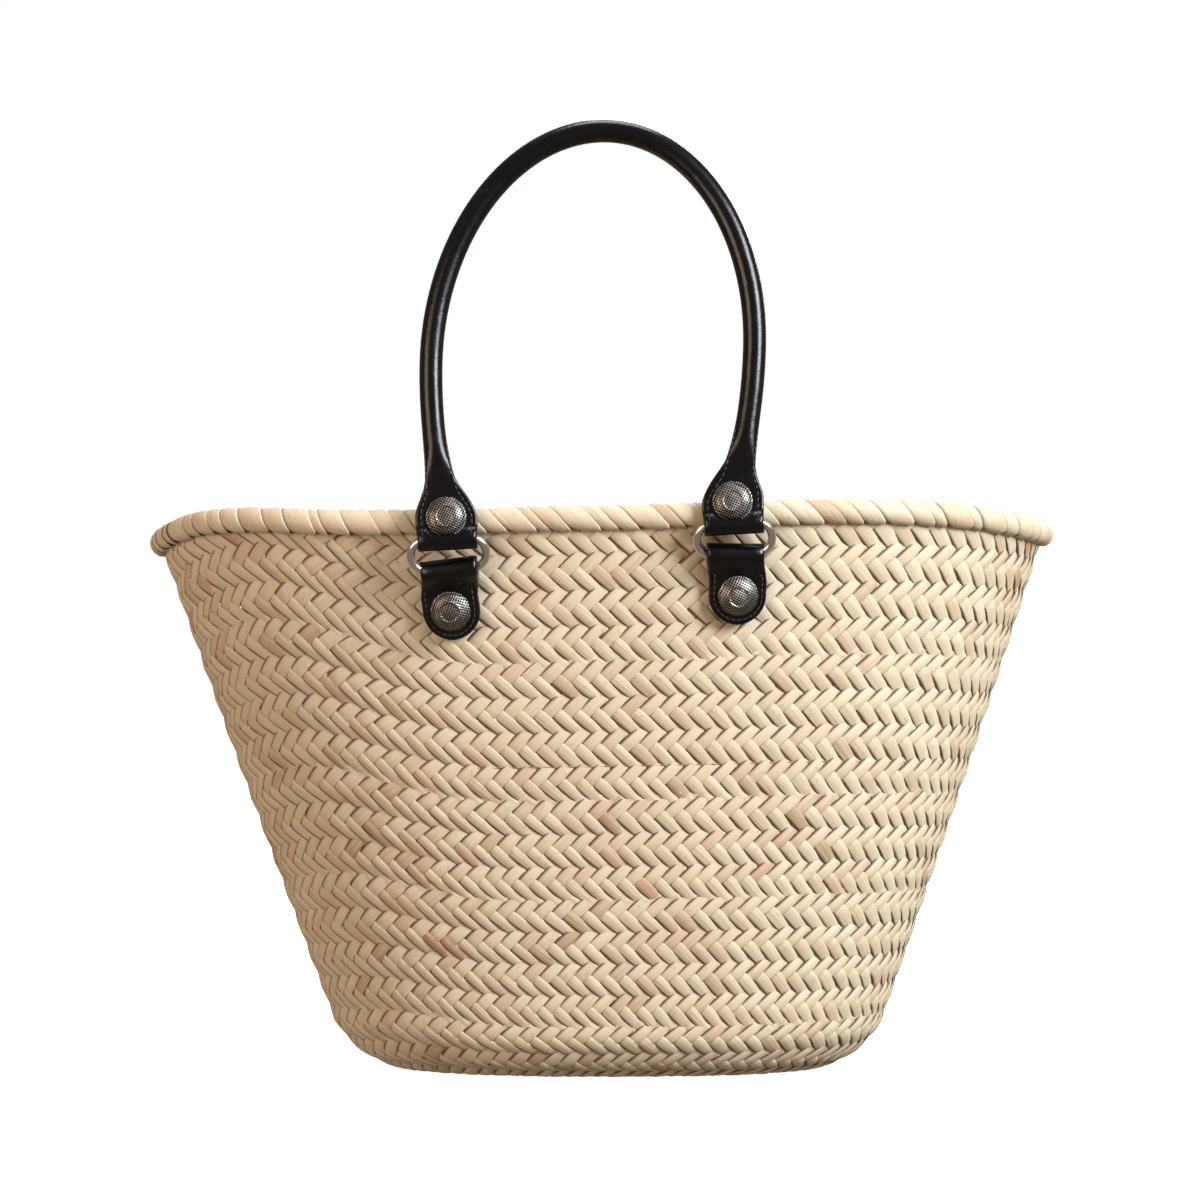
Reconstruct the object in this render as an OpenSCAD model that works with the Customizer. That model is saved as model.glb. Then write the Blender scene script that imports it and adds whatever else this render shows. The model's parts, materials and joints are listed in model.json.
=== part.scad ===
// Woven market basket with two rolled leather handles on oval rings.
// Millimetres, +Z up, X along the basket, front towards -Y.
// The origin lies in the flat underside of the base, below the middle of the rim.

/* [Basket] */
// Outside length at the rim, between the two ends
rim_length = 492; // [440:1:560]
// Outside width at the rim
rim_width = 280; // [240:1:340]
// Height of the rim roll's centre in the middle of the front
rim_height = 301; // [240:1:370]
// Outside length that the wall would have at the ground
base_length = 284; // [240:1:330]
// Outside width that the wall would have at the ground
base_width = 176; // [150:1:220]
// Radius of the rounded edge between base and wall
corner_radius = 30; // [22:1:36]
// Exponent of the plan outline: 2 is an ellipse, more is squarer
plan_power = 2.5; // [2:0.1:3]
// How far the wall bellies out at half height
wall_bulge = 1.5; // [0:0.5:6]
// How far the base sits off-centre along the length
base_shift = 5; // [0:0.5:8]
// How far the rim hangs lower at its two ends
end_drop = 12; // [0:1:25]
// How far the rim rises and falls near the handles
rim_wave = 4.5; // [0:0.5:6]
// How far the rim is pushed up at the left of the front
rim_lift = 7; // [0:0.5:9]
// Thickness of the plaited palm
wall_t = 4.5; // [3.5:0.1:6]

/* [Rim] */
// Diameter of the bound rim roll
rim_roll_d = 15; // [12:0.5:18]
// Diameter of the rope inside the rim roll
rim_core_d = 9; // [6:0.5:10]
// Diameter of the cord that joins the courses
lacing_d = 2; // [1.5:0.1:3]

/* [Handle] */
// Diameter of the rolled leather tube
handle_tube_d = 12; // [10:0.5:15]
// Diameter of the cord inside the tube
handle_core_d = 7.2; // [5:0.1:7.6]
// Height of the handle above the ring bar that carries it
handle_rise = 210; // [180:1:260]
// Height of the rounded upper part
arch_rise = 117; // [90:1:140]
// Half of the greatest spacing of the two legs
arch_half = 84; // [76:1:100]
// Half of the spacing of the two feet
foot_half = 74; // [64:1:84]
// Sideways lean of the arch, as a share of its height
handle_skew = 0.075; // [0:0.005:0.1]
// Angle of the line through the two rings
handle_tilt = 3.1; // [0:0.1:4]
// Lean of the standing handle over the basket
handle_lean = 8; // [6:0.5:10]
// Offset of the handle's middle along the basket
handle_x = -4; // [-8:0.5:8]
// Width of the flat foot at its stud
foot_width = 32; // [30:0.5:34]
// Thickness of one layer of leather
leather_t = 2.4; // [2:0.1:2.8]

/* [Rings] */
// Diameter of the ring's wire
wire_d = 4.4; // [3.5:0.1:5]
// Spacing of the ring's two long bars
bar_gap = 18; // [17:0.5:21]
// Outside length of the ring
ring_length = 43.4; // [40:0.2:50]
// Bend radius of the ring's corners, at the wire's centre
ring_bend = 6; // [4:0.5:7]
// Gap between a ring bar and the leather around it
loop_clearance = 0.3; // [0.25:0.05:0.5]
// Angle of a ring that hangs down, from straight up
ring_down = 148; // [142:1:152]

/* [Tabs and studs] */
// Width of a tab
tab_width = 30; // [28:0.2:32]
// Length of a tab below the ring bar that it holds
tab_length = 36; // [32:0.5:40]
// Angle by which the two tabs lean towards each other
tab_splay = 4; // [0:0.5:6]
// Distance from a ring bar to the stud in the tab
tab_stud_drop = 20.5; // [20:0.5:26]
// Distance from a ring bar to the stud in the handle's foot
foot_stud_rise = 11; // [11:0.5:16]
// Diameter of a stud's head
stud_d = 21; // [16:0.5:21.5]
// Height of a stud's domed head
stud_h = 5; // [3:0.5:6]
// Diameter of a stud's shank
shank_d = 4; // [3:0.5:5]
// Diameter of the rivet back that closes a shank
back_d = 14; // [10:0.5:18]
// Thickness of the rivet back
back_t = 1.2; // [0.8:0.1:1.5]

/* [Hidden] */

front = 1;
back = -1;
left = -1;
right = 1;

palm = [0.86, 0.76, 0.58];
palm_dark = [0.72, 0.60, 0.42];
black_leather = [0.06, 0.06, 0.07];
steel = [0.75, 0.75, 0.77];
gunmetal = [0.30, 0.30, 0.32];

course_count = 5;
plan_steps = 60;         // stations around the basket
corner_rows = 5;         // rows of facets in the rounded edge's course
wall_rows = 2;           // rows of facets in each higher course
rim_gap = 0.3;           // between the rim binding and what it binds
cord_gap = 0.2;          // between a lacing cord and the bands beside it
snug = 0.1;              // radial gap of a shank in its hole
rest_gap = 0.4;          // between parts of different bodies
seat_gap = 0.2;          // between a tab and the wall behind it

// ---- shape of the wall ----

lift_turn = 217;         // plan angle of the rim's highest place
lift_spread = 23;        // how far the lift spreads from there, in degrees

// Height of the rim roll's centre at plan angle a
function rim_z(a) =
    let (away = ((a % 360 + 360) % 360 - lift_turn) / lift_spread)
    rim_height + rim_wave * sin(135 * cos(a)) - end_drop * pow(abs(cos(a)), 4)
    + rim_lift * exp(-away * away);
// Half length and half width of the outside at height z, before the rounded edge
function half_x(z) =
    base_length / 2 + (rim_length - base_length) / 2 * z / rim_height
    + wall_bulge * sin(180 * min(z / rim_height, 1));
function half_y(z) =
    base_width / 2 + (rim_width - base_width) / 2 * z / rim_height
    + wall_bulge * sin(180 * min(z / rim_height, 1));
function power(v) = sign(v) * pow(abs(v), 2 / plan_power);
// Point at plan angle a and height z, set in by inset from the outside
function plan_point(a, z, inset) = [
    (half_x(z) - inset) * power(cos(a)) + base_shift * (1 - z / rim_height),
    (half_y(z) - inset) * power(sin(a)),
    z
];
// Distance of the front wall's outside from the XZ plane
function wall_y(x, z) =
    half_y(z) * pow(1 - pow(abs(x - base_shift * (1 - z / rim_height)) / half_x(z),
                            plan_power), 1 / plan_power);

corner_run = corner_radius * PI / 2;
wall_run = rim_height - rim_core_d / 2 - corner_radius;
course_run = (corner_run + wall_run) / course_count;

// Point of the wall at plan angle a, a distance s up from the base's edge and depth in
function wall_point(a, s, depth) =
    s < corner_run
    ? let (b = s / corner_radius * 180 / PI, r = corner_radius - depth)
        plan_point(a, corner_radius - r * cos(b), corner_radius - r * sin(b))
    : let (top = rim_z(a) - rim_core_d / 2)
        plan_point(a, corner_radius + (s - corner_run) / wall_run * (top - corner_radius),
                   depth);

// ---- lofts ----

// Closed loft through rings of points; the last ring joins the first where closed is true
module loft(rings, closed = false) {
    n = len(rings[0]);
    m = len(rings);
    quads = [
        for (i = [0 : closed ? m - 1 : m - 2]) for (j = [0 : n - 1])
            let (k = (i + 1) % m, l = (j + 1) % n)
                each [[i * n + j, k * n + j, k * n + l], [i * n + j, k * n + l, i * n + l]]
    ];
    caps = closed ? [] : [[for (j = [0 : n - 1]) j], [for (j = [n - 1 : -1 : 0]) (m - 1) * n + j]];
    polyhedron(points = [for (r = rings) each r], faces = concat(quads, caps), convexity = 8);
}

function turn_of(i, steps) = 360 * i / steps;

// Outline of a wall band between runs s0 and s1 at plan angle a, as one closed section
function band_section(a, s0, s1, rows) = concat(
    [for (i = [0 : rows]) wall_point(a, s0 + (s1 - s0) * i / rows, 0)],
    [for (i = [rows : -1 : 0]) wall_point(a, s0 + (s1 - s0) * i / rows, wall_t)]
);

// Unit tangent and outward direction of the rim's line at plan angle a
function rim_centre(a) =
    let (z = rim_z(a)) plan_point(a, z, wall_t / 2);
function unit(v) = v / norm(v);
function rim_out(a) =
    let (t = rim_centre(a + 1) - rim_centre(a - 1)) unit([t[1], -t[0], 0]);

// Angle by which the wall leans outwards below the rim at plan angle a
function rim_lean(a) =
    let (z = rim_z(a), rise = plan_point(a, z + 1, 0) - plan_point(a, z - 1, 0))
        atan((rise * rim_out(a)) / 2);

// Points of a round section about the rim's line, from angle b0 to b1 above the outward side
// of a wall that stands upright, and turned by the wall's lean
function rim_arc(a, r, b0, b1, steps) =
    [for (i = [0 : steps]) let (b = b0 + (b1 - b0) * i / steps - rim_lean(a))
        rim_centre(a) + rim_out(a) * r * cos(b) + [0, 0, r * sin(b)]];

// ---- basket ----

module base_plait() {
    edge = corner_radius + lacing_d;
    color(palm)
        linear_extrude(wall_t)
            polygon([for (i = [0 : plan_steps - 1])
                let (p = plan_point(turn_of(i, plan_steps), 0, edge)) [p[0], p[1]]]);
}

module wall_band(index) {
    s0 = course_run * (index - 1) + (index > 1 ? lacing_d / 2 : 0);
    s1 = course_run * index - (index < course_count ? lacing_d / 2 : 0);
    rows = index == 1 ? corner_rows : wall_rows;
    loft([for (i = [0 : plan_steps - 1]) band_section(turn_of(i, plan_steps), s0, s1, rows)],
         closed = true);
}

module wall_course(index) {
    color(palm)
        difference() {
            wall_band(index);
            if (index == course_count)
                for (end = [front, back]) for (side = [left, right])
                    tab_place(end, side) shank_hole(wall_t);
        }
}

// Cords in the joints between the courses, and between the first course and the base
module lacing_cord() {
    r = lacing_d / 2 - cord_gap;
    color(palm_dark)
        for (k = [0 : course_count - 1])
            loft([for (i = [0 : plan_steps - 1])
                let (a = turn_of(i, plan_steps),
                     c = k == 0 ? plan_point(a, wall_t / 2, corner_radius + lacing_d / 2)
                                : wall_point(a, course_run * k, wall_t / 2),
                     o = rim_out(a))
                [c + o * r, c + [0, 0, r], c - o * r, c - [0, 0, r]]], closed = true);
}

module rim_core() {
    color(palm_dark)
        loft([for (i = [0 : plan_steps - 1])
            [for (k = [0 : 7]) let (a = turn_of(i, plan_steps), b = 22.5 + 45 * k)
                rim_centre(a) + rim_out(a) * rim_core_d / 2 * cos(b)
                + [0, 0, rim_core_d / 2 * sin(b)]]],
            closed = true);
}

// Binding: a C-shaped band over the rope, open below where the wall enters it
module rim_binding() {
    outer = rim_roll_d / 2;
    inner = rim_core_d / 2 + rim_gap;
    outer_start = -62;
    inner_start = -30;
    color(palm)
        loft([for (i = [0 : plan_steps - 1])
            let (a = turn_of(i, plan_steps))
                concat(rim_arc(a, outer, outer_start, 180 - outer_start, 9),
                       rim_arc(a, inner, 180 - inner_start, inner_start, 6))],
            closed = true);
}

// ---- places of the handle hardware ----

loop_r = wire_d / 2 + loop_clearance + leather_t;
// Height of the lower ring bars' axis, which keeps the foot's stud beside the rim roll
hinge_z = rim_height - 22.8;
// The side of a foot that is nearest the basket's middle, where the wall stands out most
near_x = foot_half - abs(handle_x) - foot_width / 2;
hinge_y = wall_y(near_x, hinge_z) + loop_r + rest_gap;
// The upper bar stands out far enough for the foot to pass in front of the rim roll
roll_y = wall_y(near_x, rim_height) - wall_t / 2 + rim_roll_d / 2;
upper_y = roll_y + leather_t + back_t + rest_gap;
ring_lean = asin((upper_y - hinge_y) / bar_gap);
ring_swing = ring_down - ring_lean;
// From standing to hanging, the handle turns this far on its rings
handle_turn = 180 - ring_down + handle_lean + ring_lean;

// Frame of the lower ring bars: X along them, Z up, -Y away from the basket
module hinge_place(end) {
    mirror([0, end == back ? 1 : 0, 0])
        translate([handle_x, -hinge_y, hinge_z])
            rotate([0, -handle_tilt, 0])
                children();
}

// Frame of a ring: Z from its lower bar to its upper bar
module ring_place(end) {
    hinge_place(end)
        rotate([ring_lean + (end == back ? ring_swing : 0), 0, 0])
            children();
}

// Frame of a handle: Z up its feet, from the upper ring bars
module handle_place(end) {
    ring_place(end)
        translate([0, 0, bar_gap])
            rotate([-ring_lean - handle_lean + (end == back ? handle_turn : 0), 0, 0])
                children();
}

tab_z = hinge_z - tab_stud_drop;
function tab_x(side) = handle_x + side * foot_half + tab_stud_drop * sin(handle_tilt);
function tab_height(side) = tab_z + side * foot_half * sin(handle_tilt);
function tab_yaw(side) =
    let (x = tab_x(side), z = tab_height(side))
        atan((wall_y(x - 5, z) - wall_y(x + 5, z)) / 10);
function tab_pitch(side) =
    let (x = tab_x(side), z = tab_height(side))
        atan((wall_y(x, z + 5) - wall_y(x, z - 5)) / 10);

// Frame of a tab's stud: Z up the wall, -Y away from it, Y = 0 on the wall's outside
module tab_place(end, side) {
    mirror([0, end == back ? 1 : 0, 0])
        translate([tab_x(side), -wall_y(tab_x(side), tab_height(side)), tab_height(side)])
            rotate([0, 0, tab_yaw(side)])
                rotate([tab_pitch(side), 0, 0])
                    rotate([0, -handle_tilt + side * tab_splay, 0])
                        children();
}

// ---- fasteners ----

// Domed head on the plane Y = -face, with a shank back to Y = depth
module stud(face, depth) {
    dome_r = (pow(stud_d / 2, 2) + pow(stud_h - 1, 2)) / (2 * (stud_h - 1));
    color(gunmetal)
        rotate([90, 0, 0]) {
            translate([0, 0, face])
                cylinder(d = stud_d, h = 1, $fn = 64);
            translate([0, 0, face + 1])
                intersection() {
                    cylinder(d = stud_d, h = stud_h, $fn = 64);
                    translate([0, 0, stud_h - 1 - dome_r]) sphere(r = dome_r, $fn = 96);
                }
            translate([0, 0, -depth])
                cylinder(d = shank_d, h = face + depth + 0.5, $fn = 32);
        }
}

// Clearance hole for a shank, through everything about the plane Y = 0
module shank_hole(reach) {
    rotate([90, 0, 0])
        cylinder(d = shank_d + 2 * snug, h = 6 * reach, center = true, $fn = 32);
}

// Room for a stud's head over the plane Y = -face, where it presses into the leather beside it
module stud_seat(face) {
    rotate([90, 0, 0])
        translate([0, 0, face])
            cylinder(d = stud_d + 2 * snug, h = stud_h, $fn = 64);
}

// Washer with its hole, whose outer face ends the shank
module rivet_back(depth) {
    color(steel)
        rotate([-90, 0, 0])
            translate([0, 0, depth])
                difference() {
                    cylinder(d = back_d, h = back_t, $fn = 48);
                    translate([0, 0, -1]) cylinder(d = shank_d + 2 * snug, h = back_t + 2, $fn = 32);
                }
}

tab_face = seat_gap + 2 * leather_t;
wall_back = wall_t + 0.3;

module tab_stud(end, side) {
    tab_place(end, side) stud(tab_face, wall_back + back_t);
}

module tab_rivet_back(end, side) {
    tab_place(end, side) rivet_back(wall_back);
}

module handle_stud(end, side) {
    handle_place(end)
        translate([side * foot_half, 0, foot_stud_rise])
            stud(leather_t, leather_t + back_t);
}

module handle_rivet_back(end, side) {
    handle_place(end)
        translate([side * foot_half, 0, foot_stud_rise])
            rivet_back(leather_t);
}

// ---- tabs ----

bar_hole_d = wire_d + 2 * loop_clearance;

// Leather turned around a ring bar, along X
module leather_loop(width) {
    rotate([0, 90, 0])
        cylinder(r = loop_r, h = width, center = true, $fn = 48);
}

module bar_hole(width) {
    rotate([0, 90, 0])
        cylinder(d = bar_hole_d, h = 2 * width, center = true, $fn = 48);
}

// Folded strip: the flat part on the wall, and the fold around the ring's lower bar
module tab(end, side) {
    half = tab_width / 2;
    drop = tab_length - tab_stud_drop - half;
    neck = loop_r + 2;
    color(black_leather)
        difference() {
            union() {
                tab_place(end, side)
                    translate([0, -seat_gap, 0])
                        rotate([90, 0, 0])
                            linear_extrude(2 * leather_t)
                                union() {
                                    translate([0, -drop]) circle(r = half, $fn = 64);
                                    translate([-half, -drop])
                                        square([tab_width, drop + tab_stud_drop]);
                                }
                hinge_place(end)
                    translate([side * foot_half, 0, 0])
                        leather_loop(tab_width);
            }
            hinge_place(end)
                translate([side * foot_half, 0, 0])
                    bar_hole(tab_width);
            tab_place(end, side) shank_hole(leather_t * 2);
        }
}

// ---- rings ----

module ring(end, side) {
    bar = ring_length - wire_d - 2 * ring_bend;
    upright = bar_gap - 2 * ring_bend;
    color(steel)
        ring_place(end)
            translate([side * foot_half, 0, bar_gap / 2]) {
                for (v = [-1, 1])
                    translate([0, 0, v * bar_gap / 2])
                        rotate([0, 90, 0])
                            cylinder(d = wire_d, h = bar, center = true, $fn = 48);
                for (u = [-1, 1])
                    translate([u * (bar / 2 + ring_bend), 0, 0])
                        cylinder(d = wire_d, h = upright, center = true, $fn = 48);
                for (q = [0 : 3])
                    rotate([0, -90 * q, 0])
                        translate(q % 2 == 0 ? [bar / 2, 0, upright / 2] : [upright / 2, 0, bar / 2])
                            rotate([90, 0, 0])
                                rotate_extrude(angle = 90, $fn = 96)
                                    translate([ring_bend, 0])
                                        circle(d = wire_d, $fn = 48);
            }
}

// ---- handles ----

arch_base = handle_rise - arch_rise;
flare_end = 60;          // where the foot's taper has reached the tube's width
round_end = 47;          // where the flat foot has become as thick as the tube
flat_end = foot_stud_rise + stud_d / 2 + 0.5;
leg_steps = 8;
arch_steps = 26;
tube_sides = 12;

// Half spacing of the legs at height h
function leg_x(h) = foot_half + (arch_half - foot_half) * cos(90 * (1 - h / arch_base));
function skewed(x, h) = [x + handle_skew * max(h - foot_stud_rise, 0), h];

// The handle's line from its left foot over the arch to its right foot, in its own plane
leg_heights = concat([foot_stud_rise], [for (i = [0 : leg_steps - 1])
    flat_end + (arch_base - flat_end) * i / leg_steps]);
handle_line = concat(
    [for (h = leg_heights) skewed(-leg_x(h), h)],
    [for (i = [0 : arch_steps]) let (t = 180 - 180 * i / arch_steps)
        skewed(arch_half * cos(t), arch_base + arch_rise * sin(t))],
    [for (i = [leg_steps : -1 : 0]) skewed(leg_x(leg_heights[i]), leg_heights[i])]
);

// Half width and half thickness of the handle's section at height h: flat behind the stud,
// and a round tube where the flare ends
function share(h, low, high) = max(0, min(1, (high - h) / (high - low)));
function section_w(h) =
    handle_tube_d / 2
    + (foot_width - handle_tube_d) / 2 * pow(share(h, foot_stud_rise, flare_end), 3);
function section_t(h) =
    let (k = share(h, flat_end, round_end), e = k * k * (3 - 2 * k))
        handle_tube_d / 2 * (1 - e) + leather_t * e;

// Direction of the line at point i of a list of points
function line_dir(line, i) =
    unit(line[min(i + 1, len(line) - 1)] - line[max(i - 1, 0)]);

// Section of half width w and half thickness t across the line at point i
function cross_section(line, i, w, t, sides) =
    let (d = line_dir(line, i), p = line[i])
        [for (k = [0 : sides - 1]) let (b = 360 * k / sides + 180 / sides)
            [p[0] + w * cos(b) * d[1], t * sin(b), p[1] - w * cos(b) * d[0]]];

module handle_body() {
    loft([for (i = [0 : len(handle_line) - 1])
        let (h = handle_line[i][1])
            cross_section(handle_line, i, section_w(h), section_t(h), tube_sides)]);
}

// The line of the core, which ends where the flare begins
core_line = [for (p = handle_line) if (p[1] > flare_end - 8) p];

module core_body(d) {
    loft([for (i = [0 : len(core_line) - 1])
        cross_section(core_line, i, d / 2, d / 2, 8)]);
}

module handle_cover(end) {
    color(black_leather)
        handle_place(end)
            difference() {
                union() {
                    handle_body();
                    for (side = [left, right])
                        translate([side * foot_half, 0, 0])
                            foot_plate();
                }
                core_body(handle_core_d + 2 * snug);
                for (side = [left, right])
                    translate([side * foot_half, 0, 0]) {
                        bar_hole(foot_width);
                        translate([0, 0, foot_stud_rise]) {
                            shank_hole(leather_t);
                            stud_seat(leather_t);
                        }
                    }
            }
}

// Flat foot: folded around the ring's upper bar, round about its stud
module foot_plate() {
    fold_width = tab_width;
    leather_loop(fold_width);
    translate([0, leather_t, 0])
        rotate([90, 0, 0])
            linear_extrude(2 * leather_t)
                union() {
                    translate([0, foot_stud_rise]) circle(d = foot_width, $fn = 64);
                    translate([-fold_width / 2, 0]) square([fold_width, foot_stud_rise]);
                }
}

module handle_core(end) {
    color(palm_dark)
        handle_place(end)
            core_body(handle_core_d);
}

// ---- the parts ----

base_plait();
wall_course(1);  // wall_course_1
wall_course(2);  // wall_course_2
wall_course(3);  // wall_course_3
wall_course(4);  // wall_course_4
wall_course(5);  // wall_course_5
lacing_cord();
rim_core();
rim_binding();
tab(front, left);  // front_left_tab
tab(front, right);  // front_right_tab
tab(back, left);  // back_left_tab
tab(back, right);  // back_right_tab
tab_stud(front, left);  // front_left_tab_stud
tab_stud(front, right);  // front_right_tab_stud
tab_stud(back, left);  // back_left_tab_stud
tab_stud(back, right);  // back_right_tab_stud
tab_rivet_back(front, left);  // front_left_tab_rivet_back
tab_rivet_back(front, right);  // front_right_tab_rivet_back
tab_rivet_back(back, left);  // back_left_tab_rivet_back
tab_rivet_back(back, right);  // back_right_tab_rivet_back
ring(front, left);  // front_left_ring
ring(front, right);  // front_right_ring
ring(back, left);  // back_left_ring
ring(back, right);  // back_right_ring
handle_cover(front);  // front_handle_cover
handle_core(front);  // front_handle_core
handle_cover(back);  // back_handle_cover
handle_core(back);  // back_handle_core
handle_stud(front, left);  // front_left_handle_stud
handle_stud(front, right);  // front_right_handle_stud
handle_stud(back, left);  // back_left_handle_stud
handle_stud(back, right);  // back_right_handle_stud
handle_rivet_back(front, left);  // front_left_handle_rivet_back
handle_rivet_back(front, right);  // front_right_handle_rivet_back
handle_rivet_back(back, left);  // back_left_handle_rivet_back
handle_rivet_back(back, right);  // back_right_handle_rivet_back
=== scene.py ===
"""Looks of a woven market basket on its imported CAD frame.

Lengths are in millimetres in the basket's own frame (+Z up, -Y to the front) and become metres when a
mesh is made. The plait is counted in columns around the basket and in rows up its wall.
"""
import json
import math

import bpy
import numpy as np
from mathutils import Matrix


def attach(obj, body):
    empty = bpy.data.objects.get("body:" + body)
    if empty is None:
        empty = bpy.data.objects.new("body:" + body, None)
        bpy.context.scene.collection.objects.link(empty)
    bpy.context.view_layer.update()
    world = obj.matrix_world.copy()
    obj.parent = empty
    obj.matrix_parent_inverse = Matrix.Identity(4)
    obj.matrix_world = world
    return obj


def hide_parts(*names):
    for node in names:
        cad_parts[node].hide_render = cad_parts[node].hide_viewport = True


MM = 0.001
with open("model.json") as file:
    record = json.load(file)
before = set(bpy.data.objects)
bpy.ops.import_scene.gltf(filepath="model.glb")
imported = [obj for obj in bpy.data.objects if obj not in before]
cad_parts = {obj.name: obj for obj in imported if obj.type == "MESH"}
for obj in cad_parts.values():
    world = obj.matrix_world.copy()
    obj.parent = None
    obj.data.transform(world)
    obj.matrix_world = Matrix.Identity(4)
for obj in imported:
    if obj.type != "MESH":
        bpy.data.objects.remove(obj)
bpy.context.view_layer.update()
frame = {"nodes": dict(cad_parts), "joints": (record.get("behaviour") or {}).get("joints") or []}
rng = np.random.default_rng(20)

# ---- driving sizes, as in the part ----

RIM_LENGTH = 492.0
RIM_WIDTH = 280.0
RIM_HEIGHT = 301.0
BASE_LENGTH = 284.0
BASE_WIDTH = 176.0
CORNER_R = 30.0
PLAN_POWER = 2.5
WALL_BULGE = 1.5
BASE_SHIFT = 5.0
END_DROP = 12.0
RIM_WAVE = 4.5
RIM_LIFT = 7.0
LIFT_TURN = 217.0
LIFT_SPREAD = 23.0
WALL_T = 4.5
ROLL_R = 7.5
CORE_R = 4.5
LEATHER_T = 2.4
TUBE_R = 6.0
ARCH_HALF = 84.0
ARCH_RISE = 117.0
ARCH_BASE = 93.0
FOOT_HALF = 74.0
FOLD_W = 15.4
STUD_RISE = 11.0
STUD_DROP = 20.5
TAB_HALF = 15.0
TAB_LENGTH = 36.0
TAB_SPLAY = 4.0
SKEW = 0.075
TILT = 3.1
HANDLE_X = -4.0
BAR_GAP = 18.0
LOOP_R = 4.9
LOOP_FRONT_R = 6.0
HANDLE_LEAN = 8.0
SEAT_GAP = 0.2

FRONT = 1
BACK = -1
LEFT = -1
RIGHT = 1
END_NAMES = {FRONT: "front", BACK: "back"}
SIDE_NAMES = {LEFT: "left", RIGHT: "right"}


# ---- camera ----

CAMERA_DISTANCE = 2400.0
CAMERA_HEIGHT = 305.0
CAMERA_PITCH = 1.174
CAMERA_LENS = 130.9


def make_camera():
    data = bpy.data.cameras.new("camera")
    data.lens = CAMERA_LENS
    data.sensor_width = 36
    data.clip_end = 50
    camera = bpy.data.objects.new("camera", data)
    bpy.context.scene.collection.objects.link(camera)
    camera.location = (0, -CAMERA_DISTANCE * MM, CAMERA_HEIGHT * MM)
    camera.rotation_euler = (math.radians(90 - CAMERA_PITCH), 0, 0)
    bpy.context.scene.camera = camera


# ---- meshes ----


def new_object(name, verts, faces, body, colors=None, uvs=None, flip=False, smooth=True):
    """A mesh object in metres from points in millimetres and rows of quads, riding on a body.

    colors is one RGBA row for each point, and uvs one pair for each point."""
    verts = np.asarray(verts, dtype=np.float64).reshape(-1, 3) * MM
    loops = np.concatenate([np.asarray(f, dtype=np.int64)[:, ::-1 if flip else 1].ravel() for f in faces])
    sizes = np.concatenate([np.full(len(f), np.asarray(f).shape[1]) for f in faces])
    mesh = bpy.data.meshes.new(name)
    mesh.vertices.add(len(verts))
    mesh.vertices.foreach_set("co", verts.ravel())
    mesh.loops.add(len(loops))
    mesh.loops.foreach_set("vertex_index", loops.astype(np.int32))
    mesh.polygons.add(len(sizes))
    starts = np.concatenate([[0], np.cumsum(sizes)[:-1]])
    mesh.polygons.foreach_set("loop_start", starts.astype(np.int32))
    mesh.polygons.foreach_set("use_smooth", np.full(len(sizes), smooth))
    mesh.update(calc_edges=True)
    if colors is not None:
        layer = mesh.color_attributes.new("leaf", "FLOAT_COLOR", "POINT")
        layer.data.foreach_set("color", np.asarray(colors, dtype=np.float32).ravel())
    if uvs is not None:
        layer = mesh.uv_layers.new(name="along")
        layer.data.foreach_set("uv", np.asarray(uvs, dtype=np.float32).reshape(-1, 2)[loops].ravel())
    mesh.validate()
    piece = bpy.data.objects.new(name, mesh)
    bpy.context.scene.collection.objects.link(piece)
    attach(piece, body)
    return piece


def tube_faces(rings, sides, first=0, closed=False):
    """Quads over a grid of rings by sides points, where each ring closes on itself."""
    i = np.arange(rings if closed else rings - 1)[:, None]
    j = np.arange(sides)[None, :]
    k = (i + 1) % rings
    n = (j + 1) % sides
    quads = np.stack(np.broadcast_arrays(i * sides + j, i * sides + n, k * sides + n, k * sides + j), -1)
    return quads.reshape(-1, 4) + first


def end_caps(rings, sides, first=0):
    """The two faces that close a tube's ends."""
    j = np.arange(sides)
    return np.stack([j[::-1], (rings - 1) * sides + j]) + first


def many_tubes(grid):
    """Points and faces of many equal closed tubes from an array of tubes x rings x sides x 3."""
    tubes, rings, sides, _ = grid.shape
    firsts = (np.arange(tubes) * rings * sides)[:, None, None]
    quads = (tube_faces(rings, sides)[None] + firsts).reshape(-1, 4)
    caps = (end_caps(rings, sides)[None] + firsts).reshape(-1, sides)
    return grid.reshape(-1, 3), [quads, caps]


def smoothstep(x):
    x = np.clip(x, 0, 1)
    return x * x * (3 - 2 * x)


def lengths_along(points):
    """Distance along a line of points at each of them."""
    step = np.linalg.norm(np.diff(points, axis=0), axis=1)
    return np.concatenate([[0], np.cumsum(step)])


# ---- the wall's surface ----

CORNER_RUN = CORNER_R * math.pi / 2
WALL_RUN = RIM_HEIGHT - CORE_R - CORNER_R
TOTAL_RUN = CORNER_RUN + WALL_RUN
AROUND = 4097                    # points taken around the basket when its length is measured


def rim_z(a):
    wave = RIM_WAVE * np.sin(math.radians(135) * np.cos(a))
    away = (np.degrees(a) % 360 - LIFT_TURN) / LIFT_SPREAD
    return RIM_HEIGHT + wave - END_DROP * np.cos(a) ** 4 + RIM_LIFT * np.exp(-away ** 2)


def half_size(z, base, rim):
    belly = WALL_BULGE * np.sin(math.pi * np.clip(z / RIM_HEIGHT, 0, 1))
    return base / 2 + (rim - base) / 2 * z / RIM_HEIGHT + belly


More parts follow.
